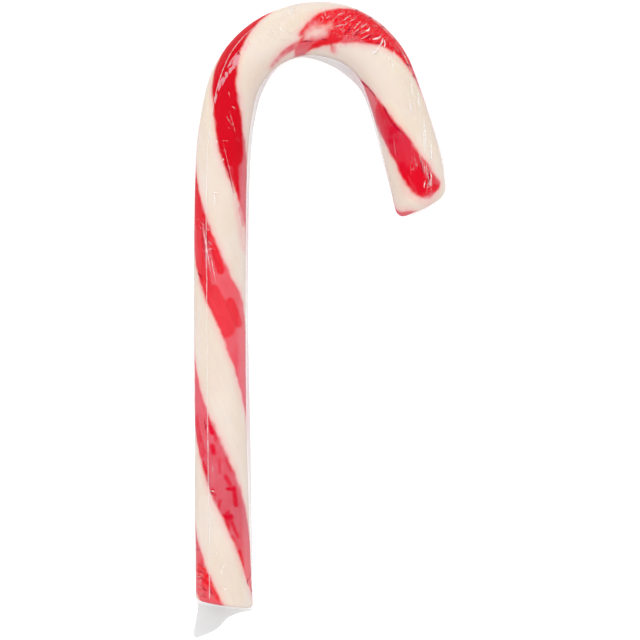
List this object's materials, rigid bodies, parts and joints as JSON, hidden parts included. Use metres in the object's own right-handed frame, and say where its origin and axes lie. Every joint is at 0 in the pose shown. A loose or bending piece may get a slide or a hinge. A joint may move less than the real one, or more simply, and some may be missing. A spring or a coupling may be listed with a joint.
{
  "type": "peppermint candy cane in clear film",
  "caption": "Thick hard-sugar candy cane with a red spiral stripe, hooked at the top, in a clear shrink film with a torn tail past its foot.",
  "frame": {"origin": "middle of the bounding box's underside, on the surface that the cane lies on", "axes": "+Y runs up along the straight stem towards the hook, +X is the side the hook's short leg is on, +Z points away from the surface, to the side that shows"},
  "size_m": [0.0637, 0.1592, 0.0151],
  "materials": {
    "striped_sugar": "smooth cream-white boiled sugar with a broad twisted red stripe that bleeds a little pink at its edges",
    "clear_film": "thin clear glossy shrink film, faintly milky where it stands off the sugar, crinkled over the hook"
  },
  "bodies": {
    "root": {"candy_cane": "striped_sugar", "film_wrapper": "clear_film"}
  },
  "joints": []
}
